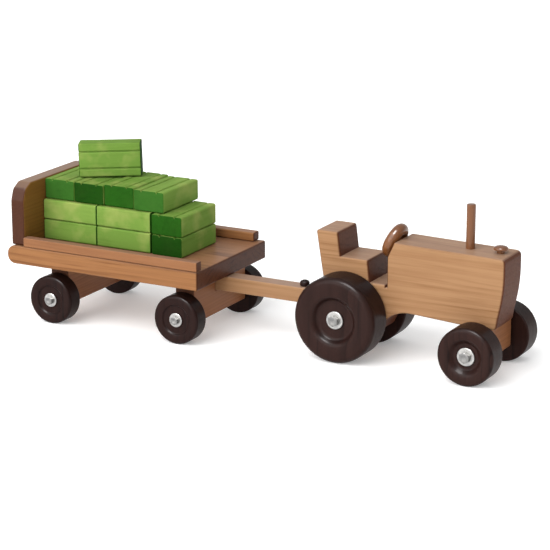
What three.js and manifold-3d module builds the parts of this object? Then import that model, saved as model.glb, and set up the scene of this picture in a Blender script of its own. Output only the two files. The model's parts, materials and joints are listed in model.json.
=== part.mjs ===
// Wooden toy tractor hitched to a four-wheeled hay wagon with a load of loose bales.
// Millimetres, +Z up, +X the way the tractor drives, +Y its left. The origin is on the ground
// under the middle of the whole toy.
import * as THREE from 'three';
import { mergeVertices } from 'three/addons/utils/BufferGeometryUtils.js';
import Module from 'manifold-3d';

const wasm = await Module();
wasm.setup();

// ---- Driving dimensions. X is counted from the tractor's rear axle; toy shifts it at the end. ----

const GAP = 0.3;                    // left between pieces that touch
const ROUND_SIDES = 28;             // facets round a wheel

const BODY_HALF = 19.05;            // tractor body, half its thickness
const HOOD = { rear: 37.2, front: 145.1, top: 104.6, rise: 0.02, belly: 42.3, corner: 2.5 };
const NOSE = { footX: 138.6, corner: 2.8, curveZ: 70, straightZ: 90 };
const FLOOR = { z: 68.3, kerf: 1.2, kerfDepth: 2.2 };
const SEAT = { footX: 20.8, lipX: 18.7, top: 88 };
const BACKREST = { footX: -7.3, frontX: -10.1, rearX: -31.1, top: 109.4, hipX: -24.3 };
const UNDERSIDE = { rear: -6, front: 27.7, z: 24, tailX: -21.4, tailZ: 50, step: 37.2 };
const ARCH = { topX: 58, topZ: 45.6, radius: 32 };
const CORNER = 0.8;                 // small eased corners of the seat and its back

const REAR_WHEEL = { x: 0, radius: 38.1, inner: 20, width: 28.2, round: 5.5, dish: 19, dishDepth: 6 };
const FRONT_WHEEL = { x: 124.4, radius: 25.4, inner: 28.6, width: 22.8, round: 3.5, dish: 13, dishDepth: 5 };
const WHEEL_BACK_EASE = 1.2;        // the small easing round a wheel's inner face
const BIG_SCREW = { shank: 2.5, length: 38, headR: 5, headH: 3.6, washerR: 7.9, washerT: 1.5 };

const AXLE_BLOCK = { halfX: 9.5, halfY: 27.9, bottom: 15.5 };
const BLOCK_PIN = { radius: 3, bottom: 31, top: 54, spread: 5 };

const STACK = { x: 105.9, radius: 3.9, top: 144, depth: 12 };
const CAP = { x: 133.6, radius: 6.2, height: 6.6, stemR: 3.4, underside: 3, tenonR: 2.6, tenonDepth: 7 };
const STEERING = { x: 36, z: 103.8, ringR: 10.8, tubeR: 5.2, tiltDeg: 25 };

const HITCH_X = -51.5;
const DRAWBAR = { front: -6.3, half: 8, bottom: 27.4, top: 36.9 };
const PEG = { shank: 3, headR: 4.3, headH: 5.2, bottom: 24 };

const TONGUE = { half: 7.85, bottom: 37.2, top: 51.1, rear: -156.6 };
const BOLSTER = { halfX: 9.5, halfY: 47, bottom: 15, top: 51.2 };
const WAGON_AXLES = { front: -147.1, rear: -279.4 };
const KING_PIN = { radius: 4, bottom: 29, top: 62 };
const WAGON_WHEEL = { radius: 22.2, inner: 47.3, width: 16.6, round: 2.5, dish: 14, dishDepth: 2 };
const SMALL_SCREW = { shank: 2, length: 32, headR: 4, headH: 2.8, washerR: 6.35, washerT: 1.2 };

const BED = { rear: -325.4, front: -125, half: 63.1, bottom: 51.5, top: 68.4, nose: 7.5 };
const RAIL_HEIGHT = 8.4;
const RAILS = [
  { label: 'right', side: -1, outer: 62.6, width: 8.5, front: -125.5 },
  { label: 'left', side: 1, outer: 62.3, width: 10.5, front: -131.4 },
];
const HEADBOARD = { rear: -322, front: -308, half: 60, top: 125.8, clipY: 13, clipZ: 15.5 };

const BALE = { length: 57.1, width: 31.6, height: 18.6, kerf: 1.5, kerfDepth: 1.4, ease: 1.5 };
const CROSS_LENGTH = 62;            // the bales lying across the load are the longer ones
const LAYER_PITCH = BALE.height + GAP;
const LOAD = { right: -28.5, crossRight: -30, endGap: 0.4, frontGap: 1.9, upperRight: -25 };
const UPPER_UNEVEN_Y = [0, -0.6, 0.3, -0.8];
const UPPER_EXTRA_HEIGHT = [0, 0, 1.2, 0.5];
const TOP_BALE = { x: -279.7, y: -9.8, yawDeg: 26.5, tiltDeg: 1.7 };

// ---- Materials ----

function wood(name, color, roughness = 0.6) {
  return new THREE.MeshStandardMaterial({ name, color, roughness, metalness: 0 });
}

const oiledPine = wood('oiled_pine', 0xc08f62);
const stainedPine = wood('stained_pine', 0x7a4f3a);
const darkWood = wood('dark_wood', 0x3a2a28, 0.45);
const steel = new THREE.MeshStandardMaterial({
  name: 'zinc_steel', color: 0xb8b8b4, roughness: 0.35, metalness: 1,
});
const BALE_GREENS = [0x86a650, 0x7da348, 0x8bb45c, 0x6f9a45];

// ---- Helpers ----

const radians = THREE.MathUtils.degToRad;

function toSolid(geometry) {
  const bare = geometry.clone();
  bare.deleteAttribute('normal');
  bare.deleteAttribute('uv');
  const merged = mergeVertices(bare, 1e-4);
  return new wasm.Manifold(new wasm.Mesh({
    numProp: 3,
    vertProperties: new Float32Array(merged.attributes.position.array),
    triVerts: new Uint32Array(merged.index.array),
  }));
}

function toGeometry(manifold) {
  const mesh = manifold.getMesh();
  const geometry = new THREE.BufferGeometry();
  geometry.setAttribute('position', new THREE.BufferAttribute(new Float32Array(mesh.vertProperties), 3));
  geometry.setIndex(new THREE.BufferAttribute(new Uint32Array(mesh.triVerts), 1));
  geometry.computeVertexNormals();
  return geometry;
}

function cut(geometry, cutters) {
  const whole = toSolid(geometry);
  return toGeometry(cutters.reduce((rest, cutter) => rest.subtract(toSolid(cutter)), whole));
}

function join(geometries) {
  return toGeometry(geometries.map(toSolid).reduce((sum, next) => sum.add(next)));
}

function box(x0, x1, y0, y1, z0, z1) {
  const geometry = new THREE.BoxGeometry(x1 - x0, y1 - y0, z1 - z0);
  return geometry.translate((x0 + x1) / 2, (y0 + y1) / 2, (z0 + z1) / 2);
}

// A straight round bar along Z or along Y.
function barZ(radius, z0, z1, x = 0, sides = 16) {
  const geometry = new THREE.CylinderGeometry(radius, radius, z1 - z0, sides);
  return geometry.rotateX(Math.PI / 2).translate(x, 0, (z0 + z1) / 2);
}

function barY(radius, y0, y1, x, z, sides = 16) {
  return new THREE.CylinderGeometry(radius, radius, y1 - y0, sides).translate(x, (y0 + y1) / 2, z);
}

// An outline drawn in X and Z, given its thickness along Y, with eased edges on both faces.
function slabXZ(shape, half, ease) {
  const geometry = new THREE.ExtrudeGeometry(shape, {
    depth: 2 * (half - ease), curveSegments: 6,
    bevelEnabled: ease > 0, bevelThickness: ease, bevelSize: ease, bevelOffset: -ease, bevelSegments: 1,
  });
  return geometry.translate(0, 0, -(half - ease)).rotateX(Math.PI / 2);
}

// The same for an outline drawn in Y and Z, with its thickness along X.
function slabYZ(shape, x0, x1, ease) {
  const geometry = new THREE.ExtrudeGeometry(shape, {
    depth: x1 - x0 - 2 * ease, curveSegments: 4,
    bevelEnabled: true, bevelThickness: ease, bevelSize: ease, bevelOffset: -ease, bevelSegments: 1,
  });
  return geometry.rotateX(Math.PI / 2).rotateZ(Math.PI / 2).translate(x0 + ease, 0, 0);
}

function easedBlock(x0, x1, y0, y1, z0, z1, ease = 0.8) {
  const outline = new THREE.Shape([
    new THREE.Vector2(x0 + ease, z0), new THREE.Vector2(x1 - ease, z0),
    new THREE.Vector2(x1, z0 + ease), new THREE.Vector2(x1, z1 - ease),
    new THREE.Vector2(x1 - ease, z1), new THREE.Vector2(x0 + ease, z1),
    new THREE.Vector2(x0, z1 - ease), new THREE.Vector2(x0, z0 + ease),
  ]);
  return slabXZ(outline, (y1 - y0) / 2, ease).translate(0, (y0 + y1) / 2, 0);
}

// A profile of [radius, height] pairs turned about Y, in the order that points its faces outwards.
function turned(profile, sides) {
  const closed = [...profile, profile[0]];
  return new THREE.LatheGeometry(closed.map(([r, y]) => new THREE.Vector2(r, y)), sides);
}

const vehicle = new THREE.Group();

function add(name, geometry, material, parent = vehicle) {
  const mesh = new THREE.Mesh(geometry, material);
  mesh.name = name;
  parent.add(mesh);
  return mesh;
}

const SIDES = [['right', -1], ['left', 1]];

// ---- Wheels with their screws and washers ----

function wheelGeometry({ radius, width, round, dish, dishDepth }, bore) {
  const floor = width - dishDepth;
  const soft = round * (1 - Math.SQRT1_2);
  return turned([
    [bore, 0], [radius - WHEEL_BACK_EASE, 0], [radius, WHEEL_BACK_EASE],
    [radius, width - round], [radius - soft, width - soft], [radius - round, width],
    [dish + 1, width], [dish, width - 0.6], [dish - 0.5 * dishDepth, floor], [bore, floor],
  ], ROUND_SIDES);
}

function washerGeometry({ shank, washerR, washerT }) {
  return turned([[shank + GAP, 0], [washerR, 0], [washerR, washerT], [shank + GAP, washerT]], 16);
}

function screwGeometry({ shank, length, headR, headH }) {
  const head = new THREE.CylinderGeometry(0.92 * headR, headR, headH, 6).translate(0, headH / 2, 0);
  const stem = new THREE.CylinderGeometry(shank, shank, length, 12).translate(0, 0.1 - length / 2, 0);
  return join([head, stem]);
}

// One wheel with its fixings on one side. Local Y points outwards from the toy's centre plane.
function addWheel(prefix, label, side, wheel, x, screw) {
  const hub = new THREE.Group();
  hub.position.set(x, side * wheel.inner, wheel.radius);
  hub.rotation.z = side > 0 ? 0 : Math.PI;
  vehicle.add(hub);
  const seat = wheel.width - wheel.dishDepth + GAP;
  const bore = screw.shank + GAP;
  add(`${prefix}wheel_${label}`, wheelGeometry(wheel, bore), darkWood, hub);
  add(`${prefix}washer_${label}`, washerGeometry(screw), steel, hub).position.y = seat;
  const headY = seat + screw.washerT + GAP;
  add(`${prefix}screw_${label}`, screwGeometry(screw), steel, hub).position.y = headY;
}

// The hole a wheel's screw is driven into, with its far end just past the screw's point.
function screwHole(side, wheel, x, screw) {
  const headY = wheel.inner + wheel.width - wheel.dishDepth + screw.washerT + 2 * GAP;
  const inner = side * (headY - screw.length - 2 * GAP);
  const outer = side * (wheel.inner + 1);
  return barY(screw.shank + GAP, Math.min(inner, outer), Math.max(inner, outer), x, wheel.radius, 12);
}

// ---- Tractor ----

// The hood's top rises gently from the nose towards the driver.
function hoodTop(x) {
  return HOOD.top + (HOOD.front - x) * HOOD.rise;
}

function bodyOutline() {
  const archStart = Math.asin((ARCH.topX - UNDERSIDE.front) / ARCH.radius) + Math.PI / 2;
  // The hood's rear edge is cut back parallel to the steering wheel, which is glued to the cut.
  const tilt = radians(STEERING.tiltDeg);
  const lean = Math.tan(tilt);
  const level = STEERING.x + (STEERING.tubeR + GAP) / Math.cos(tilt);
  const cutTop = level + (hoodTop(level) - STEERING.z) * lean;
  const cutFootZ = STEERING.z - (level - HOOD.rear) / lean;
  const shape = new THREE.Shape();
  shape.moveTo(UNDERSIDE.rear, UNDERSIDE.z);
  shape.lineTo(UNDERSIDE.front, UNDERSIDE.z);
  shape.absarc(ARCH.topX, ARCH.topZ - ARCH.radius, ARCH.radius, archStart, Math.PI / 2, true);
  shape.lineTo(FRONT_WHEEL.x - AXLE_BLOCK.halfX - NOSE.corner, HOOD.belly);
  shape.lineTo(NOSE.footX - NOSE.corner, HOOD.belly);
  shape.quadraticCurveTo(NOSE.footX, HOOD.belly, NOSE.footX, HOOD.belly + NOSE.corner);
  shape.quadraticCurveTo(HOOD.front, NOSE.curveZ, HOOD.front, NOSE.straightZ);
  shape.lineTo(HOOD.front, HOOD.top - HOOD.corner);
  shape.quadraticCurveTo(HOOD.front, HOOD.top, HOOD.front - HOOD.corner, HOOD.top);
  shape.lineTo(cutTop, hoodTop(level));
  shape.lineTo(HOOD.rear, cutFootZ);
  shape.lineTo(HOOD.rear, FLOOR.z);
  shape.lineTo(SEAT.footX, FLOOR.z);
  shape.lineTo(SEAT.lipX, SEAT.top - CORNER);
  shape.lineTo(SEAT.lipX - CORNER, SEAT.top);
  shape.lineTo(BACKREST.footX, SEAT.top);
  shape.lineTo(BACKREST.frontX, BACKREST.top - CORNER);
  shape.lineTo(BACKREST.frontX - CORNER, BACKREST.top);
  shape.lineTo(BACKREST.rearX + CORNER, BACKREST.top);
  shape.lineTo(BACKREST.rearX, BACKREST.top - CORNER);
  shape.lineTo(BACKREST.hipX, FLOOR.z);
  shape.lineTo(UNDERSIDE.tailX, UNDERSIDE.tailZ);
  shape.lineTo(UNDERSIDE.tailX, UNDERSIDE.step);
  shape.lineTo(UNDERSIDE.rear, UNDERSIDE.step);
  return shape;
}

function bodyGeometry() {
  const sawCut = box(HOOD.rear - FLOOR.kerf, HOOD.rear, -BODY_HALF - 1, BODY_HALF + 1,
    FLOOR.z - FLOOR.kerfDepth, FLOOR.z + 1);
  const holes = [
    barZ(STACK.radius + GAP, HOOD.top - STACK.depth - GAP, HOOD.top + 2, STACK.x),
    barZ(CAP.tenonR + GAP, HOOD.top - CAP.tenonDepth - GAP, HOOD.top + 2, CAP.x),
    ...SIDES.map(([, side]) => screwHole(side, REAR_WHEEL, REAR_WHEEL.x, BIG_SCREW)),
    ...[-1, 1].map((end) => barZ(BLOCK_PIN.radius + GAP, HOOD.belly - 2, BLOCK_PIN.top + GAP,
      FRONT_WHEEL.x + end * BLOCK_PIN.spread)),
  ];
  return cut(slabXZ(bodyOutline(), BODY_HALF, 1), [sawCut, ...holes]);
}

function axleBlockGeometry() {
  const { halfX, halfY, bottom } = AXLE_BLOCK;
  const x = FRONT_WHEEL.x;
  const block = easedBlock(x - halfX, x + halfX, -halfY, halfY, bottom, HOOD.belly - GAP);
  const holes = [
    ...SIDES.map(([, side]) => screwHole(side, FRONT_WHEEL, x, BIG_SCREW)),
    ...[-1, 1].map((end) => barZ(BLOCK_PIN.radius + GAP, BLOCK_PIN.bottom - GAP, HOOD.belly,
      x + end * BLOCK_PIN.spread)),
  ];
  return cut(block, holes);
}

// A mushroom-headed peg whose stem stands on the hood, with a thinner tenon below it.
function capGeometry() {
  const { radius, height, stemR, underside, tenonR, tenonDepth } = CAP;
  return new THREE.LatheGeometry([
    [0, -tenonDepth], [tenonR, -tenonDepth], [tenonR, GAP], [stemR, GAP], [stemR, underside],
    [radius, underside], [radius, 0.7 * height], [0.75 * radius, 0.92 * height],
    [0.35 * radius, height], [0, height],
  ].map(([r, y]) => new THREE.Vector2(r, y)), 16).rotateX(Math.PI / 2);
}

// A flat bar with one end rounded about the hitch and a hole there for the peg.
function hitchBar(farX, half, z0, z1, extraHoles = []) {
  const shape = new THREE.Shape();
  const turn = Math.sign(farX - HITCH_X);
  shape.moveTo(farX, -half);
  shape.lineTo(HITCH_X, -half);
  shape.absarc(HITCH_X, 0, half, -Math.PI / 2, Math.PI / 2, turn > 0);
  shape.lineTo(farX, half);
  const bar = new THREE.ExtrudeGeometry(shape, { depth: z1 - z0, curveSegments: 10, bevelEnabled: false });
  return cut(bar.translate(0, 0, z0), [barZ(PEG.shank + GAP, z0 - 1, z1 + 1, HITCH_X), ...extraHoles]);
}

function pegGeometry() {
  const headBase = TONGUE.top + GAP;
  return new THREE.LatheGeometry([
    [0, PEG.bottom], [PEG.shank - 0.6, PEG.bottom], [PEG.shank, PEG.bottom + 1], [PEG.shank, headBase],
    [PEG.headR, headBase], [PEG.headR, headBase + 0.6 * PEG.headH],
    [0.6 * PEG.headR, headBase + PEG.headH], [0, headBase + PEG.headH],
  ].map(([r, y]) => new THREE.Vector2(r, y)), 16).rotateX(Math.PI / 2).translate(HITCH_X, 0, 0);
}

function buildTractor() {
  add('tractor_body', bodyGeometry(), oiledPine);
  add('front_axle_block', axleBlockGeometry(), stainedPine);
  for (const [label, end] of [['rear', -1], ['front', 1]]) {
    const x = FRONT_WHEEL.x + end * BLOCK_PIN.spread;
    add(`axle_block_pin_${label}`, barZ(BLOCK_PIN.radius, BLOCK_PIN.bottom, BLOCK_PIN.top, x), oiledPine);
  }
  add('exhaust_stack', barZ(STACK.radius, HOOD.top - STACK.depth, STACK.top, STACK.x), stainedPine);
  add('radiator_cap', capGeometry(), stainedPine).position.set(CAP.x, 0, hoodTop(CAP.x));

  const ring = new THREE.TorusGeometry(STEERING.ringR, STEERING.tubeR, 10, ROUND_SIDES);
  const steering = add('steering_wheel', ring.rotateY(Math.PI / 2), oiledPine);
  steering.position.set(STEERING.x, 0, STEERING.z);
  steering.rotation.y = radians(STEERING.tiltDeg);

  add('drawbar', hitchBar(DRAWBAR.front, DRAWBAR.half, DRAWBAR.bottom, DRAWBAR.top), oiledPine);
  add('hitch_peg', pegGeometry(), darkWood);
  for (const [label, side] of SIDES) {
    addWheel('rear_', label, side, REAR_WHEEL, REAR_WHEEL.x, BIG_SCREW);
    addWheel('front_', label, side, FRONT_WHEEL, FRONT_WHEEL.x, BIG_SCREW);
  }
}

// ---- Wagon ----

// The cross block of one wagon axle. The wheels' screws are driven into its two ends.
function bolsterGeometry(x, extraCuts) {
  const { halfX, halfY, bottom, top } = BOLSTER;
  const block = easedBlock(x - halfX, x + halfX, -halfY, halfY, bottom, top);
  const holes = SIDES.map(([, side]) => screwHole(side, WAGON_WHEEL, x, SMALL_SCREW));
  return cut(block, [...holes, ...extraCuts]);
}

function bedGeometry() {
  const { rear, front, half, bottom, top, nose } = BED;
  const shape = new THREE.Shape();
  shape.moveTo(front, bottom);
  shape.lineTo(front, top);
  shape.lineTo(rear + nose, top);
  shape.absarc(rear + nose, top - nose, nose, Math.PI / 2, Math.PI, false);
  shape.absarc(rear + nose, bottom + nose, nose, Math.PI, 1.5 * Math.PI, false);
  const pinHole = barZ(KING_PIN.radius + GAP, bottom - 1, KING_PIN.top + GAP, WAGON_AXLES.front);
  return cut(slabXZ(shape, half, 2), [pinHole]);
}

function headboardGeometry() {
  const { rear, front, half, top, clipY, clipZ } = HEADBOARD;
  const bottom = BED.top + GAP;
  const shape = new THREE.Shape();
  shape.moveTo(-half, bottom);
  shape.lineTo(half, bottom);
  shape.lineTo(half, top - clipZ);
  shape.quadraticCurveTo(half - 0.2 * clipY, top - 0.25 * clipZ, half - clipY, top);
  shape.lineTo(clipY - half, top);
  shape.quadraticCurveTo(0.2 * clipY - half, top - 0.25 * clipZ, -half, top - clipZ);
  return slabYZ(shape, rear, front, 1);
}

function buildWagon() {
  const { front } = WAGON_AXLES;
  const above = BOLSTER.top + 1;
  const kingPinHole = barZ(KING_PIN.radius + GAP, KING_PIN.bottom - GAP, above, front);
  const slotHalf = TONGUE.half + GAP;
  const tongueSlot = box(front - 2 * BOLSTER.halfX, front + 2 * BOLSTER.halfX, -slotHalf, slotHalf,
    TONGUE.bottom - GAP, above);
  add('tongue', hitchBar(TONGUE.rear, TONGUE.half, TONGUE.bottom, TONGUE.top, [kingPinHole]), oiledPine);
  add('front_bolster', bolsterGeometry(front, [tongueSlot, kingPinHole]), stainedPine);
  add('rear_bolster', bolsterGeometry(WAGON_AXLES.rear, []), stainedPine);
  add('king_pin', barZ(KING_PIN.radius, KING_PIN.bottom, KING_PIN.top, front), oiledPine);
  add('wagon_bed', bedGeometry(), oiledPine);
  add('headboard', headboardGeometry(), stainedPine);

  const railZ = BED.top + GAP;
  for (const { label, side, outer, width, front: railFront } of RAILS) {
    const edges = [side * outer, side * (outer - width)].sort((a, b) => a - b);
    const rail = easedBlock(HEADBOARD.front + GAP, railFront, ...edges, railZ, railZ + RAIL_HEIGHT);
    add(`side_rail_${label}`, rail, oiledPine);
  }
  for (const [axle, x] of Object.entries(WAGON_AXLES)) {
    for (const [label, side] of SIDES) {
      addWheel(`wagon_${axle}_`, label, side, WAGON_WHEEL, x, SMALL_SCREW);
    }
  }
}

// ---- Bales ----

// A block with eased long edges and two saw kerfs along its top, centred over its own base.
// Its length lies along X. extra is what a thick bale has over the usual height.
function baleGeometry(length, extra = 0) {
  const { width, kerf, kerfDepth, ease } = BALE;
  const w = width / 2;
  const h = BALE.height + extra;
  const shape = new THREE.Shape();
  shape.moveTo(-w + ease, 0);
  shape.lineTo(w - ease, 0);
  shape.lineTo(w, ease);
  shape.lineTo(w, h - ease);
  shape.lineTo(w - ease, h);
  for (const y of [w / 2, -w / 2]) {
    shape.lineTo(y + kerf / 2, h);
    shape.lineTo(y, h - kerfDepth);
    shape.lineTo(y - kerf / 2, h);
  }
  shape.lineTo(-w + ease, h);
  shape.lineTo(-w, h - ease);
  shape.lineTo(-w, ease);
  const geometry = new THREE.ExtrudeGeometry(shape, { depth: length, bevelEnabled: false });
  return geometry.rotateX(Math.PI / 2).rotateZ(Math.PI / 2).translate(-length / 2, 0, 0);
}

let baleCount = 0;

function addBale(name, x, y, z, crosswise, extra = 0) {
  const material = wood('bale_green', BALE_GREENS[baleCount % BALE_GREENS.length]);
  baleCount += 1;
  const bale = add(name, baleGeometry(crosswise ? CROSS_LENGTH : BALE.length, extra), material);
  bale.position.set(x, y, z);
  bale.rotation.z = crosswise ? Math.PI / 2 : 0;
}

// Two by two bales lengthwise, then one across the front.
function buildLowerLayer(name, z) {
  const { length, width } = BALE;
  const rear = HEADBOARD.front + GAP;
  const columnStep = length + LOAD.endGap;
  let count = 0;
  for (const row of [0, 1]) {
    for (const column of [0, 1]) {
      count += 1;
      const y = LOAD.right + width / 2 + row * (width + GAP);
      addBale(`${name}_bale_${count}`, rear + length / 2 + column * columnStep, y, z, false);
    }
  }
  const frontX = rear + columnStep + length + LOAD.frontGap + width / 2;
  addBale(`${name}_bale_5`, frontX, LOAD.crossRight + CROSS_LENGTH / 2, z, true);
}

// Four bales side by side across the load, set a little unevenly. The third is the thickest.
function buildUpperLayer(z) {
  UPPER_EXTRA_HEIGHT.forEach((extra, i) => {
    const x = HEADBOARD.front + GAP + BALE.width / 2 + i * (BALE.width + GAP);
    const y = LOAD.upperRight + CROSS_LENGTH / 2 + UPPER_UNEVEN_Y[i];
    addBale(`upper_bale_${i + 1}`, x, y, z, true, extra);
  });
}

// The last bale stands on its long edge with its kerfs to the right, one end on the thickest bale.
function buildTopBale(z) {
  const stand = new THREE.Group();
  stand.position.set(TOP_BALE.x, TOP_BALE.y, z);
  stand.rotation.z = radians(TOP_BALE.yawDeg);
  vehicle.add(stand);
  const onItsBack = baleGeometry(BALE.length).translate(BALE.length / 2, 0, -BALE.height);
  const upright = onItsBack.rotateX(Math.PI / 2).translate(0, 0, BALE.width / 2);
  const bale = add('top_bale', upright, wood('bale_green', BALE_GREENS[0]), stand);
  bale.rotation.y = -radians(TOP_BALE.tiltDeg);
}

function buildLoad() {
  const bottomZ = BED.top + GAP;
  buildLowerLayer('bottom', bottomZ);
  buildLowerLayer('middle', bottomZ + LAYER_PITCH);
  buildUpperLayer(bottomZ + 2 * LAYER_PITCH);
  buildTopBale(bottomZ + 3 * LAYER_PITCH);
}

buildTractor();
buildWagon();
buildLoad();

const frontEnd = FRONT_WHEEL.x + FRONT_WHEEL.radius;
vehicle.position.x = -(BED.rear + frontEnd) / 2;

const toy = new THREE.Group();
toy.add(vehicle);

export default toy;
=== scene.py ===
"""A wooden toy tractor that pulls a wagon of loose hay bales, finished for rendering.

The scene is in metres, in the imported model's frame. Outlines and sizes are written in
millimetres and brought to metres where a mesh is made.
"""
import json
import math

import bmesh
import bpy
from mathutils import Matrix, Vector, noise


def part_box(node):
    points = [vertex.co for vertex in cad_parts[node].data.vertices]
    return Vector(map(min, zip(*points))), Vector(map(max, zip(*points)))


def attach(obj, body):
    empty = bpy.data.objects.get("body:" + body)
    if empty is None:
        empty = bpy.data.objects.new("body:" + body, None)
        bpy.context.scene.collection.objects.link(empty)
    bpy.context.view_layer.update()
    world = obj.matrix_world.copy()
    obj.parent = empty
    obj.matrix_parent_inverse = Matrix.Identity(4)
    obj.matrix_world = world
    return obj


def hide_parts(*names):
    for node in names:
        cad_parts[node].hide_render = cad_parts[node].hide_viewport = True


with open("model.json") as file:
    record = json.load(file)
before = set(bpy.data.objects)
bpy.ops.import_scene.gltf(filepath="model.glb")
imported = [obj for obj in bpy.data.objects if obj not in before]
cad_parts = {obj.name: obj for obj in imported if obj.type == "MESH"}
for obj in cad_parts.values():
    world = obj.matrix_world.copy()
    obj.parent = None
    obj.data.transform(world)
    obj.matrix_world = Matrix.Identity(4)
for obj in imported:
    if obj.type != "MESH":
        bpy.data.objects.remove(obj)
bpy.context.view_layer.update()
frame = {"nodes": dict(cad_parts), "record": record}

MM = 0.001
RECORD = frame["record"]
BODY_OF = {node: body for body, nodes in RECORD["behaviour"]["bodies"].items() for node in nodes}
SIDES = ("right", "left")


# ---- Frame helpers ----

def centre(node):
    low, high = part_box(node)
    return (low + high) / 2


def half(node):
    """Half sizes of a node's box, in millimetres."""
    low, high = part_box(node)
    return (high - low) / 2 / MM


def at(node):
    return Matrix.Translation(centre(node))


# ---- Outlines, in millimetres ----

def rounded(corners, step=10):
    """A closed outline from (u, v, radius) corners, its arcs in steps of so many degrees."""
    points = []
    count = len(corners)
    for i, (u, v, radius) in enumerate(corners):
        here = Vector((u, v))
        back = (Vector(corners[i - 1][:2]) - here).normalized()
        ahead = (Vector(corners[(i + 1) % count][:2]) - here).normalized()
        turn = math.pi - back.angle(ahead)
        if radius <= 0 or turn < 0.01:
            points.append(here)
            continue
        middle = here + (back + ahead).normalized() * (radius / math.cos(turn / 2))
        start = here + back * radius * math.tan(turn / 2) - middle
        end = here + ahead * radius * math.tan(turn / 2) - middle
        sign = 1 if start.cross(end) > 0 else -1
        arcs = max(2, math.ceil(math.degrees(turn) / step))
        for k in range(arcs + 1):
            points.append(middle + Matrix.Rotation(sign * turn * k / arcs, 2) @ start)
    return points


def softened(corners, least):
    """The same corners, each rounded one that points outwards given at least this radius."""
    count = len(corners)
    flat = [Vector(corner[:2]) for corner in corners]
    area = sum(flat[i - 1].cross(flat[i]) for i in range(count))
    soft = []
    for i, (u, v, radius) in enumerate(corners):
        bulge = (flat[i] - flat[i - 1]).cross(flat[(i + 1) % count] - flat[i]) * area
        soft.append((u, v, max(radius, least) if bulge > 0 and radius > 0 else radius))
    return soft


def arc(u, v, radius, start, end, count):
    """Corners along an arc, angles in degrees."""
    angles = [math.radians(start + (end - start) * k / count) for k in range(count + 1)]
    return [(u + radius * math.cos(a), v + radius * math.sin(a), 0) for a in angles]


def bend(start, control, end, count):
    """Corners along a quadratic curve, its two ends included."""
    corners = []
    for k in range(count + 1):
        t = k / count
        weights = ((1 - t) ** 2, 2 * t * (1 - t), t * t)
        point = [sum(w * p for w, p in zip(weights, values)) for values in zip(start, control, end)]
        corners.append((*point, 0))
    return corners


def rectangle(half_u, half_v, radius):
    return [(-half_u, -half_v, radius), (half_u, -half_v, radius),
            (half_u, half_v, radius), (-half_u, half_v, radius)]


MITRE_LEAST = 0.35                  # keeps the step of a sharp corner short


def mitres(points):
    """For each point of an outline, the outward step that moves both its edges out by one."""
    count = len(points)
    area = sum(points[i - 1].cross(points[i]) for i in range(count))
    turn = 1 if area > 0 else -1
    edges = [(points[(i + 1) % count] - points[i]).normalized() for i in range(count)]
    normals = [Vector((edge.y, -edge.x)) * turn for edge in edges]
    return [(normals[i - 1] + normals[i]) / max(MITRE_LEAST, 1 + normals[i - 1].dot(normals[i]))
            for i in range(count)]


# ---- Meshes, in millimetres round the piece's own origin ----

MERGE_WITHIN = 4e-5                 # metres: closer points become one, so that ends fill cleanly
RIM_STEPS = 4
RIM_SLACK = 0.1                     # how much rounder than its rim an outward corner is at least
WOBBLE_SCALE = 0.09
SHARP_ANGLE = math.radians(38)

PLANES = {
    "XZ": lambda u, v, w: (u, w, v),
    "YZ": lambda u, v, w: (w, u, v),
    "XY": lambda u, v, w: (u, v, w),
}


def new_mesh(name, vertices, faces):
    mesh = bpy.data.meshes.new(name)
    mesh.from_pydata([Vector(v) * MM for v in vertices], [], faces)
    made = bmesh.new()
    made.from_mesh(mesh)
    bmesh.ops.remove_doubles(made, verts=made.verts, dist=MERGE_WITHIN)
    bmesh.ops.recalc_face_normals(made, faces=made.faces)
    made.to_mesh(mesh)
    made.free()
    return mesh


def slab(name, corners, plane, depth, ease, spans=1, wobble=0.0):
    """A board: an outline given a half depth across its plane, with both rims rounded.

    spans divides its length, and wobble moves its skin in or out a little, as hand-cut wood has.
    """
    points = rounded(softened(corners, ease + RIM_SLACK))
    outward = mitres(points)
    rim = []
    for k in range(RIM_STEPS + 1):
        angle = math.pi / 2 * k / RIM_STEPS
        rim.append((ease * (1 - math.sin(angle)), -depth + ease * (1 - math.cos(angle))))
    straight = 2 * (depth - ease)
    levels = rim + [(0, -depth + ease + straight * k / spans) for k in range(1, spans)]
    levels += [(inset, -w) for inset, w in reversed(rim)]
    place = PLANES[plane]
    swell_start = Vector((len(name), 0, 7))
    vertices = []
    for inset, w in levels:
        for point, step_out in zip(points, outward):
            spot = Vector(place(*(point - step_out * inset), w))
            swell = wobble * (noise.noise(spot * WOBBLE_SCALE + swell_start) - 0.5)
            vertices.append(spot + Vector(place(*step_out, 0)) * swell)
    count = len(points)
    faces = [tuple(range(count)), tuple(range(len(vertices) - count, len(vertices)))]
    for level in range(len(levels) - 1):
        for i in range(count):
            a, b = level * count + i, level * count + (i + 1) % count
            faces.append((a, b, b + count, a + count))
    return new_mesh(name, vertices, faces)


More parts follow.
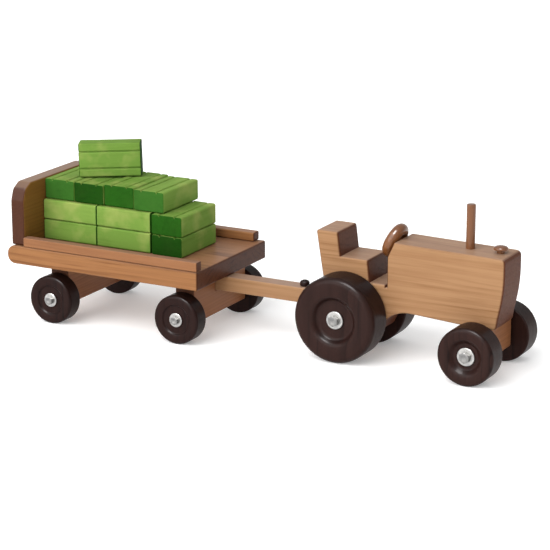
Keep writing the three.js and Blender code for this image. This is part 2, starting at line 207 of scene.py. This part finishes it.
def turned(name, profile, sides, hexagonal=()):
    """A piece turned about local Y from (radius, y) points.

    The profile closes on itself, or starts and ends on the axis. Its points numbered in hexagonal
    follow a hexagon of that corner radius.
    """
    vertices, rings = [], []
    for number, (radius, y) in enumerate(profile):
        if radius < 1e-6:
            rings.append([len(vertices)])
            vertices.append((0, y, 0))
            continue
        rings.append(list(range(len(vertices), len(vertices) + sides)))
        for k in range(sides):
            angle = 2 * math.pi * k / sides
            reach = radius
            if number in hexagonal:
                reach *= math.cos(math.pi / 6) / math.cos((angle % (math.pi / 3)) - math.pi / 6)
            vertices.append((reach * math.sin(angle), y, reach * math.cos(angle)))
    faces = []
    closed = len(rings[0]) > 1
    for i in range(len(rings) if closed else len(rings) - 1):
        lower, upper = rings[i], rings[(i + 1) % len(rings)]
        for k in range(sides):
            face = [lower[k % len(lower)], lower[(k + 1) % len(lower)],
                    upper[(k + 1) % len(upper)], upper[k % len(upper)]]
            face = list(dict.fromkeys(face))
            if len(face) > 2:
                faces.append(face)
    return new_mesh(name, vertices, faces)


def dome(radius, base, height):
    """Profile points of a rounded crown, from just above its base to the axis."""
    crown = [(radius * math.cos(a), base + height * math.sin(a)) for a in (0.3, 0.6, 0.9, 1.2, 1.4)]
    return crown + [(0, base + height)]


def piece(node, mesh, material, place):
    """Shows a mesh in place of a CAD node, on that node's body."""
    mesh.name = node + "_shape"
    mesh.shade_smooth()
    mesh.set_sharp_from_angle(angle=SHARP_ANGLE)
    mesh.materials.append(material)
    shown = bpy.data.objects.new(node + "_shape", mesh)
    bpy.context.scene.collection.objects.link(shown)
    shown.matrix_world = place
    shading = shown.modifiers.new("flat_faces_shade_flat", "WEIGHTED_NORMAL")
    shading.keep_sharp = True
    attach(shown, BODY_OF[node])
    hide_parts(node)


# ---- Materials ----

class Graph:
    """A material's node tree, with short ways to add to it."""

    def __init__(self, name):
        self.material = bpy.data.materials.new(name)
        self.material.use_nodes = True
        self.tree = self.material.node_tree
        self.shader = self.tree.nodes["Principled BSDF"]

    def add(self, kind, **inputs):
        made = self.tree.nodes.new("ShaderNode" + kind)
        for key, value in inputs.items():
            self.feed(made.inputs[key.replace("_", " ")], value)
        return made

    def feed(self, socket, value):
        if isinstance(value, bpy.types.NodeSocket):
            self.tree.links.new(value, socket)
        else:
            socket.default_value = value

    def math(self, operation, a, b=0.0):
        made = self.add("Math")
        made.operation = operation
        self.feed(made.inputs[0], a)
        self.feed(made.inputs[1], b)
        return made.outputs[0]

    def vector(self, operation, a, b=(0, 0, 0)):
        made = self.add("VectorMath")
        made.operation = operation
        self.feed(made.inputs[0], a)
        self.feed(made.inputs[1], b)
        return made.outputs["Value" if operation in ("LENGTH", "DOT_PRODUCT") else "Vector"]

    def noise(self, vector, scale, detail=2.0, roughness=0.5, output="Fac"):
        made = self.add("TexNoise", Vector=vector, Scale=scale, Detail=detail, Roughness=roughness)
        return made.outputs[output]

    def grainy(self, vector, cells, detail=2.0, roughness=0.5):
        """Noise with its cells per metre given along the grain and across it."""
        along, across = cells
        stretched = self.vector("MULTIPLY", vector, (along, across, across))
        return self.noise(stretched, 1.0, detail, roughness)

    def ramp(self, value, stops):
        made = self.add("ValToRGB", Fac=value)
        elements = made.color_ramp.elements
        while len(elements) < len(stops):
            elements.new(0.5)
        for element, (position, grey) in zip(elements, stops):
            element.position = position
            element.color = (grey, grey, grey, 1)
        return made.outputs["Color"]

    def span(self, value, low, high, to_low, to_high):
        made = self.add("MapRange", Value=value, From_Min=low, From_Max=high,
                        To_Min=to_low, To_Max=to_high)
        return made.outputs["Result"]

    def mix(self, factor, a, b):
        made = self.add("Mix")
        made.data_type = "RGBA"
        self.feed(made.inputs["Factor"], factor)
        self.feed(made.inputs["A"], a)
        self.feed(made.inputs["B"], b)
        return next(socket for socket in made.outputs if socket.type == "RGBA")


def colour(red, green, blue):
    return (red, green, blue, 1.0)


# Turns that bring a piece's grain onto the texture's X axis.
GRAIN_TURN = {"X": (0, 0, 0), "Y": (0, 0, -math.pi / 2), "Z": (0, math.pi / 2, 0)}
GRAIN_DIRECTION = {"X": (1, 0, 0), "Y": (0, 1, 0), "Z": (0, 0, 1)}

# Cells per metre, along and across the grain, of each thing that varies in a board.
DRIFT, UNEVEN, FIBRES, STREAKS, THIN_LINES = (4, 45), (6, 70), (16, 620), (7, 170), (10, 330)
PITH = (0, 0.021, 0.047)            # metres from the middle of the log to the middle of the piece
SWAY = 0.012                        # metres that the rings wander to and fro
RING_TONE = [(0, 0.0), (0.5, 0.1), (0.8, 0.7), (0.93, 1.0), (1.0, 0.05)]
FADED_GREEN = (0.270, 0.320, 0.085)
DUST_AND_SHEEN = (0.40, 0.45, 0.55)           # pale veil for faces that look up: partly dust, partly a painted sheen of the bright surround


def wood(name, axis, light, dark, end, seed, ring=0.0032, contrast=0.5, fibre=0.6, blotch=0.3,
         roughness=0.45, end_share=0.9, coat=0.03, polish=0.16, relief=0.35, specular=0.1,
         dust_and_sheen=0.0, fade=0.0):
    """Solid wood: growth rings round a pith beside the piece, fibres along the grain, end grain.

    light and dark are the tones of a long face, and end is the end grain's. ring is a ring's
    width in metres. The last two arguments say how strongly two things show: the pale veil on faces
    that look up, partly dust and partly a painted sheen, and the faded patches.
    """
    g = Graph(name)
    where = g.add("TexCoord")
    in_log = (0.37 * seed, 0.011 * ((seed * 7) % 5 - 2), 0.013 * ((seed * 3) % 7 - 3))
    mapped = g.add("Mapping", Vector=where.outputs["Object"], Rotation=GRAIN_TURN[axis],
                   Location=in_log).outputs[0]

    sway = g.noise(g.vector("MULTIPLY", mapped, (0.16, 1, 1)), 22.0, output="Color")
    sway = g.vector("MULTIPLY", g.vector("SUBTRACT", sway, (0.5, 0.5, 0.5)), (0, SWAY, SWAY))
    across = g.vector("ADD", g.vector("ADD", mapped, sway), PITH)
    from_pith = g.vector("LENGTH", g.vector("MULTIPLY", across, (0, 1, 1)))
    drift = g.math("MULTIPLY", g.grainy(mapped, DRIFT), 2.2)
    turns = g.math("ADD", g.math("DIVIDE", from_pith, ring), drift)
    rings = g.ramp(g.math("FRACT", turns), RING_TONE)
    rings = g.math("MULTIPLY", rings, g.span(g.grainy(mapped, UNEVEN), 0.42, 0.66, 0.12, 1.0))
    fibres = g.grainy(mapped, FIBRES, 3.0, 0.65)
    streaks = g.grainy(mapped, STREAKS, 3.0, 0.6)
    thin_lines = g.ramp(g.grainy(mapped, THIN_LINES), [(0.62, 0.0), (0.74, 1.0)])
    clouds = g.noise(mapped, 30.0)

    shade = g.math("ADD", g.math("MULTIPLY", rings, contrast),
                   g.math("MULTIPLY", thin_lines, 0.6 * contrast))
    for layer, strength in ((fibres, fibre), (streaks, 1.2 * fibre), (clouds, blotch)):
        shade = g.math("ADD", shade, g.math("MULTIPLY", g.math("SUBTRACT", layer, 0.5), strength))
    face = g.mix(g.span(shade, -0.1, 1.0, 0.0, 1.0), colour(*light), colour(*dark))
    if fade:
        faded = g.span(g.noise(mapped, 48.0, 3.0), 0.5, 0.68, 0.0, fade)
        face = g.mix(faded, face, colour(*FADED_GREEN))
    along = g.vector("DOT_PRODUCT", where.outputs["Normal"], GRAIN_DIRECTION[axis])
    end_mask = g.span(g.math("ABSOLUTE", along), 0.3, 0.75, 0.0, end_share)
    end_dark = colour(*[0.55 * channel for channel in end])
    end_tone = g.mix(g.span(shade, 0.0, 0.8, 0.0, 0.7), colour(*end), end_dark)
    tone = g.mix(end_mask, face, end_tone)
    # Faces that look up are mixed towards a pale veil: partly dust, partly a painted sheen standing
    # in for the bright surround's reflection.
    if dust_and_sheen:
        upward = g.vector("DOT_PRODUCT", where.outputs["Normal"], (0, 0, 1))
        tone = g.mix(g.span(upward, 0.6, 0.95, 0.0, dust_and_sheen), tone, colour(*DUST_AND_SHEEN))

    g.feed(g.shader.inputs["Base Color"], tone)
    uneven_gloss = g.span(fibres, 0.3, 0.7, roughness - 0.05, roughness + 0.08)
    g.feed(g.shader.inputs["Roughness"], uneven_gloss)
    height = g.math("ADD", g.math("MULTIPLY", fibres, 0.6), g.math("MULTIPLY", streaks, 0.4))
    bump = g.add("Bump", Height=height, Strength=relief, Distance=0.0003)
    g.feed(g.shader.inputs["Normal"], bump.outputs[0])
    g.shader.inputs["Specular IOR Level"].default_value = specular
    g.shader.inputs["Coat Weight"].default_value = coat
    g.shader.inputs["Coat Roughness"].default_value = polish
    return g.material


def plated(name, light, dark):
    """Zinc-plated steel with fine scratches."""
    g = Graph(name)
    where = g.add("TexCoord").outputs["Object"]
    scratches = g.noise(g.vector("MULTIPLY", where, (900, 900, 150)), 1.0, 3.0, 0.7)
    tone = g.span(g.noise(where, 260.0), 0.3, 0.7, 0.0, 1.0)
    g.feed(g.shader.inputs["Base Color"], g.mix(tone, colour(*light), colour(*dark)))
    g.feed(g.shader.inputs["Roughness"], g.span(scratches, 0.3, 0.7, 0.24, 0.42))
    g.shader.inputs["Metallic"].default_value = 1.0
    bump = g.add("Bump", Height=scratches, Strength=0.2, Distance=0.0001)
    g.feed(g.shader.inputs["Normal"], bump.outputs[0])
    return g.material


def tones(light, dark, end):
    return {"light": light, "dark": dark, "end": end}


PINE = tones((0.297, 0.163, 0.080), (0.170, 0.074, 0.029), (0.063, 0.013, 0.005))
BED_PINE = tones((0.252, 0.111, 0.041), (0.120, 0.043, 0.013), (0.045, 0.008, 0.002))
RED_PINE = tones((0.230, 0.100, 0.042), (0.130, 0.048, 0.018), (0.056, 0.016, 0.007))
ROSE = tones((0.150, 0.058, 0.022), (0.085, 0.032, 0.012), (0.130, 0.052, 0.024))
RING_BROWN = tones((0.155, 0.054, 0.014), (0.095, 0.033, 0.010), (0.120, 0.042, 0.014))
BROWN = tones((0.240, 0.098, 0.041), (0.135, 0.050, 0.020), (0.040, 0.013, 0.007))
BOARD = tones((0.185, 0.084, 0.017), (0.100, 0.041, 0.009), (0.040, 0.008, 0.004))
DARK = tones((0.0155, 0.0055, 0.0043), (0.0050, 0.0018, 0.0014), (0.0120, 0.0048, 0.0040))
WALNUT = tones((0.0225, 0.0090, 0.0070), (0.0085, 0.0032, 0.0025), (0.0150, 0.0058, 0.0046))
GREENS = [
    tones((0.145, 0.250, 0.044), (0.080, 0.155, 0.020), (0.009, 0.066, 0.003)),
    tones((0.132, 0.235, 0.040), (0.070, 0.138, 0.018), (0.004, 0.042, 0.001)),
    tones((0.158, 0.262, 0.048), (0.090, 0.165, 0.026), (0.024, 0.098, 0.011)),
]

WASHER_ZINC = plated("washer_zinc", (0.50, 0.49, 0.47), (0.34, 0.34, 0.335))
SCREW_ZINC = plated("screw_zinc", (0.30, 0.295, 0.285), (0.17, 0.17, 0.168))


# ---- Tractor ----

AXLE_X = centre("rear_wheel_right").x
HOOD_REAR, HOOD_FRONT, HOOD_TOP = 37.2, 145.1, 104.6
BELLY_REAR, BELLY_FRONT = 24, 42.3
WELL_FLOOR, WELL_KERF_WIDTH, WELL_KERF_DEPTH = 68.3, 1.2, 2.2
SEAT_TOP, BACK_TOP, TAIL_STEP = 88.0, 109.4, 37.2
STEERING_X, STEERING_Z, STEERING_TILT = 36.0, 103.8, math.radians(25)
RING_RADIUS, RING_TUBE = 10.8, 5.2


def body_outline():
    """The tractor's side, from the underside at the rear, forwards and round over the hood.

    X is measured from the rear axle, and heights from the ground.
    """
    kerf_rear, kerf_foot = HOOD_REAR - WELL_KERF_WIDTH, WELL_FLOOR - WELL_KERF_DEPTH
    belly = [(-6, BELLY_REAR, 1.2), (27.7, BELLY_REAR, 1.5), *arc(58, 13.6, 32, 156, 90, 12),
             (112, BELLY_FRONT, 0), (138.6, BELLY_FRONT, 3.5)]
    nose = [*bend((138.6, 47), (HOOD_FRONT, 70), (HOOD_FRONT, 90), 8)[1:],
            (HOOD_FRONT, HOOD_TOP, 4.5)]
    slanted_end = [(43.4, 106.65, 2.2), (HOOD_REAR, 93.35, 1.0)]
    footwell = [(HOOD_REAR, kerf_foot, 0), (kerf_rear, kerf_foot, 0), (kerf_rear, WELL_FLOOR, 0.3),
                (20.8, WELL_FLOOR, 0.6)]
    seat = [(18.7, SEAT_TOP, 1.5), (-7.3, SEAT_TOP, 0.8), (-10.1, BACK_TOP, 2.4),
            (-31.1, BACK_TOP, 1.8)]
    tail = [(-24.3, WELL_FLOOR, 0), (-21.4, 50, 0), (-21.4, TAIL_STEP, 1.4), (-6, TAIL_STEP, 0)]
    return belly + nose + slanted_end + footwell + seat + tail


def make_body():
    material = wood("pine_body", "X", **PINE, seed=1, ring=0.0052, contrast=0.65, fibre=0.9,
                    dust_and_sheen=0.08, coat=0.05, specular=0.05)
    mesh = slab("tractor_body", body_outline(), "XZ", half("tractor_body").y, 2.0)
    piece("tractor_body", mesh, material, Matrix.Translation((AXLE_X, 0, 0)))


def make_boards():
    """The straight boards and blocks of tractor and wagon, each from its node's box."""
    for node, axis, wood_tones, seed, ease in (
        ("front_axle_block", "Y", BROWN, 2, 1.5),
        ("rear_bolster", "Y", BROWN, 3, 1.5),
        ("side_rail_right", "X", RED_PINE, 4, 0.8),
        ("side_rail_left", "X", BED_PINE, 5, 1.4),
    ):
        x, y, z = half(node)
        material = wood("wood_" + node, axis, **wood_tones, seed=seed, dust_and_sheen=0.06, coat=0.06)
        if axis == "Y":
            mesh = slab(node, rectangle(x, z, ease), "XZ", y, ease)
        else:
            mesh = slab(node, rectangle(y, z, ease), "YZ", x, ease)
        piece(node, mesh, material, at(node))


def make_hitch_bar(node, seed):
    """A flat bar with its hitch end rounded."""
    x, y, z = half(node)
    turn = -1 if node == "drawbar" else 1
    corners = arc(turn * (x - y), 0, y, -90 * turn, 90 * turn, 14)
    corners += [(-turn * x, turn * y, 0.8), (-turn * x, -turn * y, 0.8)]
    material = wood("wood_" + node, "X", **PINE, seed=seed, ring=0.0040, dust_and_sheen=0.10, coat=0.06)
    piece(node, slab(node, corners, "XY", z, 1.2), material, at(node))


def make_front_bolster():
    """The steering axle block, notched on top for the tongue."""
    node = "front_bolster"
    x, y, z = half(node)
    notch = half("tongue").y + 0.2
    notch_floor = (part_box("tongue")[0].z - centre(node).z) / MM - 0.3
    corners = [(-y, -z, 1.4), (y, -z, 1.4), (y, z, 1.4), (notch, z, 0.4), (notch, notch_floor, 0),
               (-notch, notch_floor, 0), (-notch, z, 0.4), (-y, z, 1.4)]
    material = wood("wood_" + node, "Y", **BROWN, seed=6)
    piece(node, slab(node, corners, "YZ", x, 1.3), material, at(node))


def make_round_pieces():
    """Stack, radiator cap, hitch peg and steering wheel."""
    upright = Matrix.Rotation(math.pi / 2, 4, "X")

    x, _, z = half("exhaust_stack")
    profile = [(0, -z), (x, -z), (x, z - 0.8), (x - 0.25, z - 0.25), (x - 0.8, z), (0, z)]
    material = wood("stack_wood", "Y", **ROSE, seed=8, ring=0.002, end_share=0.7, coat=0.5)
    piece("exhaust_stack", turned("stack", profile, 40), material, at("exhaust_stack") @ upright)

    x, _, z = half("radiator_cap")
    tenon, stem = 2.6, 3.4
    stem_foot, head_foot, shoulder = z - 6.3, z - 3.6, z - 2.2
    profile = [(0, -z), (tenon, -z), (tenon, stem_foot), (stem, stem_foot), (stem, head_foot),
               (x - 0.4, head_foot), (x, head_foot + 0.4), (x, shoulder), *dome(x, shoulder, 2.2)]
    material = wood("cap_wood", "Y", **ROSE, seed=9, ring=0.002, end_share=0.5, coat=0.5)
    piece("radiator_cap", turned("cap", profile, 48), material, at("radiator_cap") @ upright)

    x, _, z = half("hitch_peg")
    shank, head_foot, shoulder = x - 1.3, z - 5.2, z - 2.6
    profile = [(0, -z), (shank - 0.8, -z), (shank, 1 - z), (shank, head_foot),
               (x - 0.4, head_foot), (x, head_foot + 0.5), (x, shoulder), *dome(x, shoulder, 2.6)]
    material = wood("peg_wood", "Y", **DARK, seed=10)
    piece("hitch_peg", turned("peg", profile, 40), material, at("hitch_peg") @ upright)

    count = 28
    angles = [2 * math.pi * k / count for k in range(count)]
    profile = [(RING_RADIUS + RING_TUBE * math.cos(a), RING_TUBE * math.sin(a)) for a in angles]
    material = wood("ring_wood", "Z", **RING_BROWN, seed=13, ring=0.0024, end_share=0.5, coat=0.7)
    place = Matrix.Translation((AXLE_X + STEERING_X * MM, 0, STEERING_Z * MM))
    place = place @ Matrix.Rotation(STEERING_TILT, 4, "Y") @ Matrix.Rotation(math.pi / 2, 4, "Z")
    piece("steering_wheel", turned("ring", profile, 96), material, place)


# ---- Wheels ----

# Rounding of the tread's shoulder, radius where the face is proudest, radius of the dish's lip,
# how far the dish's wall leans in, its depth, rounding of its lip, and radius of the bore.
WHEELS = {
    "rear": {"shoulder": 5.5, "crown": 28, "dish": 21, "slope": 3.6, "depth": 6, "lip": 5.2,
             "bore": 2.8},
    "front": {"shoulder": 3.5, "crown": 20, "dish": 15.5, "slope": 4, "depth": 5, "lip": 4.5,
              "bore": 2.8},
    "wagon": {"shoulder": 2.6, "crown": 17.5, "dish": 13.8, "slope": 1, "depth": 2, "lip": 1.6,
              "bore": 2.3},
}
# Corner radius and height of the hex head, and radius of the shank.
SCREWS = {"rear": (5.0, 3.6, 2.5), "front": (5.0, 3.6, 2.5), "wagon": (4.0, 2.8, 2.0)}


def wheel_mesh(node, kind):
    """A turned wheel with a dished face, its inner side at local zero."""
    radius, half_width, _ = half(node)
    width = 2 * half_width
    shape = WHEELS[kind]
    dish, depth, bore = shape["dish"], shape["depth"], shape["bore"]
    floor = width - depth
    corners = [
        (bore, 0, 0.5), (radius, 0, 1.2), (radius, width - 0.4, shape["shoulder"]),
        (shape["crown"], width, 0), (dish, width - 0.6, shape["lip"]),
        (dish - shape["slope"], floor, 0.6 * depth), (bore, floor, 0.5),
    ]
    return turned(node, [tuple(point) for point in rounded(corners, 9)], 96)


def washer_mesh(node, kind):
    radius, thick, _ = half(node)
    bore = WHEELS[kind]["bore"]
    corners = [(bore, -thick, 0.2), (radius, -thick, 0.3), (radius, thick, 0.5), (bore, thick, 0.2)]
    return turned(node, [tuple(point) for point in rounded(corners, 20)], 64)


def screw_mesh(node, kind):
    """A hex head with a chamfered crown on a round shank, its head's base at local zero."""
    corner, head, shank = SCREWS[kind]
    tip = head - 2 * half(node).y
    profile = [(0, tip), (shank - 1, tip), (shank, tip + 2), (shank, 0),
               (corner, 0), (corner, head - 0.7), (0.86 * corner, head - 0.1), (0.8 * corner, head),
               (0.35 * corner, head), (0.25 * corner, head - 0.15), (0, head - 0.15)]
    return turned(node, profile, 72, hexagonal=(4, 5))


def make_wheel(prefix, side, kind, seed):
    """A wheel with its washer and screw. Their local Y points outwards on both sides."""
    left = side == "left"
    outward = Matrix.Identity(4) if left else Matrix.Rotation(math.pi, 4, "Z")

    node = f"{prefix}_wheel_{side}"
    low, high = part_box(node)
    hub = Matrix.Translation((centre(node).x, low.y if left else high.y, centre(node).z))
    wheel_tones = DARK if kind == "wagon" else WALNUT
    material = wood("wood_" + node, "Z", **wheel_tones, seed=seed, ring=0.006, contrast=1.0,
                    roughness=0.40, coat=0.10, specular=0.05, polish=0.24)
    piece(node, wheel_mesh(node, kind), material, hub @ outward)

    node = f"{prefix}_washer_{side}"
    piece(node, washer_mesh(node, kind), WASHER_ZINC, at(node) @ outward)

    node = f"{prefix}_screw_{side}"
    low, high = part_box(node)
    head = SCREWS[kind][1] * MM
    under_head = (centre(node).x, high.y - head if left else low.y + head, centre(node).z)
    piece(node, screw_mesh(node, kind), SCREW_ZINC, Matrix.Translation(under_head) @ outward)


def make_wheels():
    kinds = {"rear": "rear", "front": "front", "wagon_front": "wagon", "wagon_rear": "wagon"}
    seed = 20
    for prefix, kind in kinds.items():
        for side in SIDES:
            seed += 1
            make_wheel(prefix, side, kind, seed)


# ---- Wagon ----

def make_bed():
    x, y, z = half("wagon_bed")
    corners = [(-x, -z, 7.6), (x, -z, 1.4), (x, z, 1.4), (-x, z, 7.6)]
    material = wood("wood_bed", "X", **BED_PINE, seed=30, ring=0.0050, contrast=1.0, dust_and_sheen=0.04,
                    coat=0.08)
    piece("wagon_bed", slab("wagon_bed", corners, "XZ", y, 1.6), material, at("wagon_bed"))


def make_headboard():
    x, y, z = half("headboard")
    corners = [(-y, -z, 1.2), (y, -z, 1.2), (y, z - 15.5, 8), (y - 4, z - 5, 8), (y - 13, z, 6),
               (13 - y, z, 6), (4 - y, z - 5, 8), (-y, z - 15.5, 8)]
    material = wood("wood_headboard", "Y", **BOARD, seed=31, dust_and_sheen=0.12, coat=0.1)
    piece("headboard", slab("headboard", corners, "YZ", x, 1.6), material, at("headboard"))


# ---- Bales ----

BALE_LENGTH, BALE_WIDTH, BALE_HEIGHT, BALE_CORNER = 57.1, 31.6, 18.6, 1.8
KERF_WIDTH, KERF_FOOT, KERF_DEPTH = 1.6, 0.4, 1.5
TOP_TILT, TOP_YAW = math.radians(1.7), math.radians(26.5)
FIRST_UPPER = 10                    # number of the first bale of the upper layer


def bale_mesh(name, length, height):
    """A bale lying along local X, its two saw kerfs in the top face."""
    w, h = BALE_WIDTH / 2, height / 2
    corners = [(-w, -h, BALE_CORNER), (w, -h, BALE_CORNER), (w, h, BALE_CORNER)]
    for v in (w / 2, -w / 2):
        corners += [(v + KERF_WIDTH / 2, h, 0.3), (v + KERF_FOOT / 2, h - KERF_DEPTH, 0),
                    (v - KERF_FOOT / 2, h - KERF_DEPTH, 0), (v - KERF_WIDTH / 2, h, 0.3)]
    corners.append((-w, h, BALE_CORNER))
    return slab(name, corners, "YZ", length / 2, 1.1, spans=8, wobble=0.18)


def make_bales():
    names = [f"{layer}_bale_{i}" for layer in ("bottom", "middle") for i in range(1, 6)]
    names += [f"upper_bale_{i}" for i in range(1, 5)] + ["top_bale"]
    for number, node in enumerate(names):
        # From the upper layer on, the shades come in reverse order.
        shade = GREENS[(2 * number if number >= FIRST_UPPER else number) % len(GREENS)]
        material = wood("green_" + node, "X", **shade, seed=40 + number, ring=0.0060, contrast=0.3,
                        roughness=0.7, coat=0.0, relief=0.5, blotch=1.1, end_share=0.97,
                        specular=0.04, fade=0.6)
        if node == "top_bale":
            # It stands on its long edge with its kerfs to the right, tilted on the bale below.
            turn = Matrix.Rotation(TOP_YAW, 4, "Z") @ Matrix.Rotation(-TOP_TILT, 4, "Y")
            turn = turn @ Matrix.Rotation(math.pi / 2, 4, "X")
            mesh = bale_mesh(node, BALE_LENGTH, BALE_HEIGHT)
        else:
            x, y, z = half(node)
            turn = Matrix.Rotation(math.pi / 2 if y > x else 0, 4, "Z")
            mesh = bale_mesh(node, 2 * max(x, y), 2 * z)
        piece(node, mesh, material, at(node) @ turn)


def finish_other_nodes():
    """The pins inside the wood keep their CAD meshes and get a finish."""
    material = wood("hidden_pine", "Z", **PINE, seed=17)
    for node in frame["nodes"].values():
        if not node.hide_render:
            node.data.materials.clear()
            node.data.materials.append(material)


make_body()
make_boards()
make_hitch_bar("drawbar", 15)
make_hitch_bar("tongue", 16)
make_front_bolster()
make_round_pieces()
make_wheels()
make_bed()
make_headboard()
make_bales()
finish_other_nodes()


# ---- Stage ----

CAMERA_AZIMUTH, CAMERA_ELEVATION = math.radians(28.3), math.radians(15.86)
CAMERA_DISTANCE, CAMERA_LENS, CAMERA_SENSOR = 1.968, 145.0, 36
CAMERA_TARGET = Vector((0.0064, 0, 0.0568))
FLOOR_HALF = 20
FLOOR_GLOW = 0.22                   # keeps the shadows on the floor pale
SKY_REAR, SKY_FRONT = 0.92, 0.62    # the surround is brighter behind the wagon than ahead


def make_floor():
    corners = [(x * FLOOR_HALF, y * FLOOR_HALF, 0) for x, y in ((-1, -1), (1, -1), (1, 1), (-1, 1))]
    mesh = bpy.data.meshes.new("floor")
    mesh.from_pydata(corners, [], [(0, 1, 2, 3)])
    floor = bpy.data.objects.new("floor", mesh)
    bpy.context.scene.collection.objects.link(floor)
    g = Graph("pale_floor")
    g.shader.inputs["Base Color"].default_value = colour(0.9, 0.9, 0.9)
    g.shader.inputs["Roughness"].default_value = 0.9
    g.shader.inputs["Specular IOR Level"].default_value = 0.2
    g.shader.inputs["Emission Color"].default_value = colour(1, 1, 1)
    g.shader.inputs["Emission Strength"].default_value = FLOOR_GLOW
    mesh.materials.append(g.material)


def make_sun(name, direction, strength, softness):
    """A sun that shines from a direction. softness is its width in degrees."""
    light = bpy.data.lights.new(name, "SUN")
    light.energy = strength
    light.angle = math.radians(softness)
    sun = bpy.data.objects.new(name, light)
    sun.rotation_euler = Vector(direction).to_track_quat("Z", "Y").to_euler()
    bpy.context.scene.collection.objects.link(sun)
    return sun


def make_world():
    world = bpy.data.worlds.new("studio")
    bpy.context.scene.world = world
    world.use_nodes = True
    tree = world.node_tree
    background = tree.nodes["Background"]
    where = tree.nodes.new("ShaderNodeTexCoord")
    parts = tree.nodes.new("ShaderNodeSeparateXYZ")
    tree.links.new(where.outputs["Generated"], parts.inputs[0])
    strength = tree.nodes.new("ShaderNodeMapRange")
    strength.inputs["From Min"].default_value = -1
    strength.inputs["From Max"].default_value = 1
    strength.inputs["To Min"].default_value = SKY_REAR
    strength.inputs["To Max"].default_value = SKY_FRONT
    tree.links.new(parts.outputs["X"], strength.inputs["Value"])
    tree.links.new(strength.outputs[0], background.inputs["Strength"])
    background.inputs["Color"].default_value = colour(1, 1, 1)


def make_camera():
    data = bpy.data.cameras.new("camera")
    data.lens = CAMERA_LENS
    data.sensor_width = CAMERA_SENSOR
    data.clip_end = 100
    camera = bpy.data.objects.new("camera", data)
    level = math.cos(CAMERA_ELEVATION)
    back = Vector((math.sin(CAMERA_AZIMUTH) * level, -math.cos(CAMERA_AZIMUTH) * level,
                   math.sin(CAMERA_ELEVATION)))
    camera.location = CAMERA_TARGET + back * CAMERA_DISTANCE
    camera.rotation_euler = back.to_track_quat("Z", "Y").to_euler()
    bpy.context.scene.collection.objects.link(camera)
    bpy.context.scene.camera = camera


make_floor()
make_sun("key", (-0.22, -0.80, 0.56), 3.5, 70)
# A lamp overhead that only glints on the varnish.
make_sun("glint", (0.09, -0.42, 0.885), 7.5, 30).visible_diffuse = False
make_world()
make_camera()
bpy.context.scene.view_settings.view_transform = "Standard"
